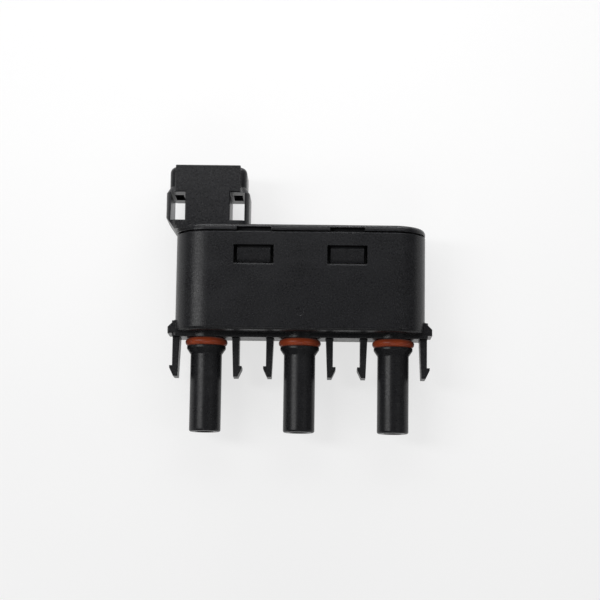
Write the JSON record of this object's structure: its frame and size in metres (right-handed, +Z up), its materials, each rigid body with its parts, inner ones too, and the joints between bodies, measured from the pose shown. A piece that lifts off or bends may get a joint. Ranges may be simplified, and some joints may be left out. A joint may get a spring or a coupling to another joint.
{
  "type": "solar cable connector",
  "caption": "Flat branch connector for solar cables: plug probes with sealing rings and latch arms on one edge, one latching socket port on the lid.",
  "frame": {"origin": "under the middle of the part's box, on the face that it lies on", "axes": "+X from the probe under the port towards the probe at the far end, +Y from the probe tips towards the port's rim, +Z up out of the broad front face; the part lies on its back"},
  "size_m": [0.0672, 0.0666, 0.02],
  "materials": {
    "housing": "fine spark-eroded texture, matt black",
    "lid": "fine spark-eroded texture, matt black",
    "latch": "semi-matt black",
    "o_ring": "red-brown silicone, slight sheen",
    "gasket": "red-brown silicone, matt",
    "contact": "tin-plated copper, satin",
    "busbar": "tin-plated copper strip, satin",
    "spring": "copper alloy spring sheet, bright"
  },
  "bodies": {
    "connector": {"housing": "housing", "lid": "lid", "lid_gasket": "gasket", "busbar": "busbar", "pin_contact": "contact", "o_ring_left": "o_ring", "socket_contact_left": "contact", "contact_spring_left": "spring", "o_ring_middle": "o_ring", "socket_contact_middle": "contact", "contact_spring_middle": "spring", "o_ring_right": "o_ring", "socket_contact_right": "contact", "contact_spring_right": "spring"},
    "latch_arm_left_a": {"latch_arm_left_a": "latch"},
    "latch_arm_left_b": {"latch_arm_left_b": "latch"},
    "latch_arm_middle_a": {"latch_arm_middle_a": "latch"},
    "latch_arm_middle_b": {"latch_arm_middle_b": "latch"},
    "latch_arm_right_a": {"latch_arm_right_a": "latch"},
    "latch_arm_right_b": {"latch_arm_right_b": "latch"}
  },
  "joints": [
    {"name": "latch_left_a", "type": "hinge", "parent": "connector", "child": "latch_arm_left_a", "pos_m": [-0.03051, -0.00975, 0.01], "axis": [0, 0, 1], "range_deg": [0, 7], "stiffness_Nm_per_rad": 1.5},
    {"name": "latch_left_b", "type": "hinge", "parent": "connector", "child": "latch_arm_left_b", "pos_m": [-0.01559, -0.00975, 0.01], "axis": [0, 0, -1], "range_deg": [0, 7], "stiffness_Nm_per_rad": 1.5},
    {"name": "latch_middle_a", "type": "hinge", "parent": "connector", "child": "latch_arm_middle_a", "pos_m": [-0.00701, -0.00975, 0.01], "axis": [0, 0, 1], "range_deg": [0, 7], "stiffness_Nm_per_rad": 1.5},
    {"name": "latch_middle_b", "type": "hinge", "parent": "connector", "child": "latch_arm_middle_b", "pos_m": [0.00791, -0.00975, 0.01], "axis": [0, 0, -1], "range_deg": [0, 7], "stiffness_Nm_per_rad": 1.5},
    {"name": "latch_right_a", "type": "hinge", "parent": "connector", "child": "latch_arm_right_a", "pos_m": [0.01649, -0.00975, 0.01], "axis": [0, 0, 1], "range_deg": [0, 7], "stiffness_Nm_per_rad": 1.5},
    {"name": "latch_right_b", "type": "hinge", "parent": "connector", "child": "latch_arm_right_b", "pos_m": [0.03141, -0.00975, 0.01], "axis": [0, 0, -1], "range_deg": [0, 7], "stiffness_Nm_per_rad": 1.5}
  ]
}
